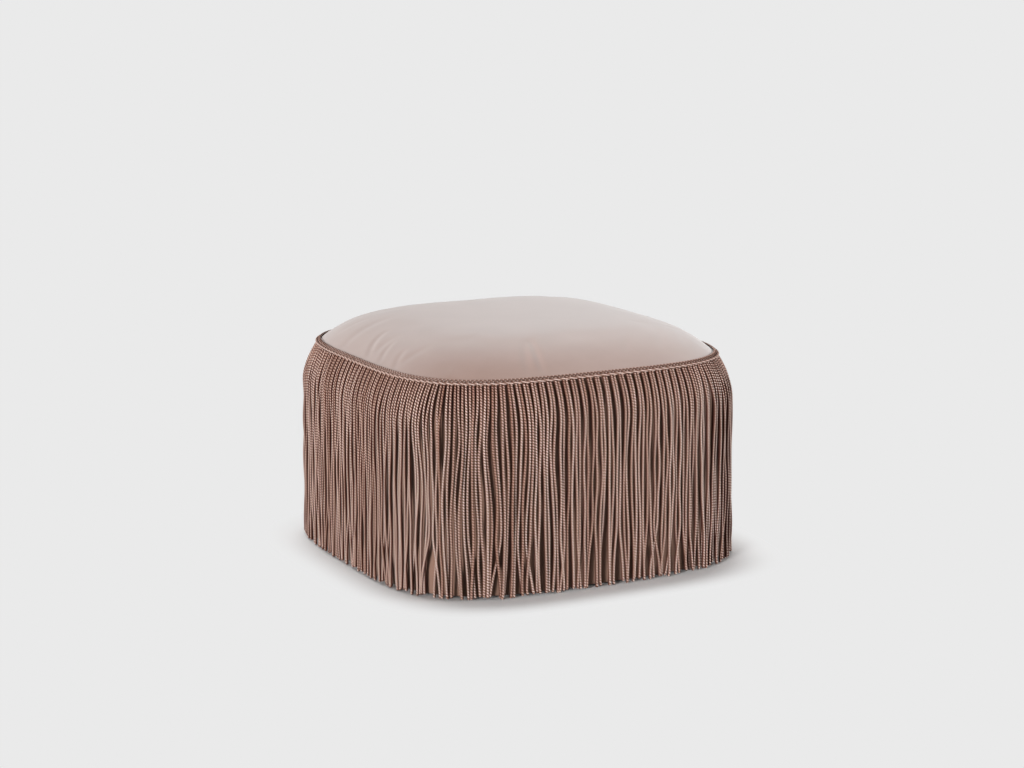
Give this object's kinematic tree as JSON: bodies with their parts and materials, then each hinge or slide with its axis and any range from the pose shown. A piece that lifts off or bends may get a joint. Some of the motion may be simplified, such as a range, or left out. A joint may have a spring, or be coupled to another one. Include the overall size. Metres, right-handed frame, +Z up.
{
  "type": "tuffet",
  "caption": "Low rounded-square footstool with a crowned velvet seat, a woven heading and a skirt of paired cords that hangs to just above the floor.",
  "frame": {"origin": "on the floor, under the middle of the seat", "axes": "+Z up, -Y towards the front, +X to the right when seen from the front; the plan is square, so the four sides are alike"},
  "size_m": [0.5998, 0.5998, 0.371],
  "materials": {
    "velvet": "short pile velvet, pinkish taupe, soft sheen",
    "cord": "twisted rayon cord, mauve brown, low sheen",
    "braid": "woven gimp, dark mauve brown",
    "foam": "open cell upholstery foam, matte",
    "wadding": "loose polyester wadding, matte",
    "hessian": "coarse plain weave jute, matte",
    "webbing": "elastic webbing, matte",
    "nonwoven": "black non-woven dust cloth, matte",
    "plywood": "bare birch plywood, sanded",
    "hardboard": "smooth brown hardboard, satin",
    "glide_plastic": "black nylon, matte",
    "steel": "zinc plated steel, satin"
  },
  "bodies": {
    "root": {"glide_front_left": "glide_plastic", "glide_front_right": "glide_plastic", "glide_back_right": "glide_plastic", "glide_back_left": "glide_plastic", "glide_screw_front_left": "steel", "glide_screw_front_right": "steel", "glide_screw_back_right": "steel", "glide_screw_back_left": "steel", "dust_cover": "nonwoven", "base_board": "plywood", "seat_ring": "plywood", "side_wall": "hardboard", "corner_post_front_left": "plywood", "corner_post_front_right": "plywood", "corner_post_back_right": "plywood", "corner_post_back_left": "plywood", "post_screw_lower_front_left": "steel", "post_screw_lower_front_right": "steel", "post_screw_lower_back_right": "steel", "post_screw_lower_back_left": "steel", "post_screw_upper_front_left": "steel", "post_screw_upper_front_right": "steel", "post_screw_upper_back_right": "steel", "post_screw_upper_back_left": "steel", "web_across_front": "webbing", "web_across_middle": "webbing", "web_across_back": "webbing", "web_along_right": "webbing", "web_along_middle": "webbing", "web_along_left": "webbing", "staple_across_front_left": "steel", "staple_across_front_right": "steel", "staple_across_middle_left": "steel", "staple_across_middle_right": "steel", "staple_across_back_left": "steel", "staple_across_back_right": "steel", "staple_along_right_front": "steel", "staple_along_right_back": "steel", "staple_along_middle_front": "steel", "staple_along_middle_back": "steel", "staple_along_left_front": "steel", "staple_along_left_back": "steel", "hessian": "hessian", "seat_foam": "foam", "seat_wadding": "wadding", "seat_cover": "velvet", "side_padding": "foam", "side_cover": "velvet", "fringe_front": "cord", "fringe_right": "cord", "fringe_back": "cord", "fringe_left": "cord", "gimp_braid": "braid"}
  },
  "joints": []
}
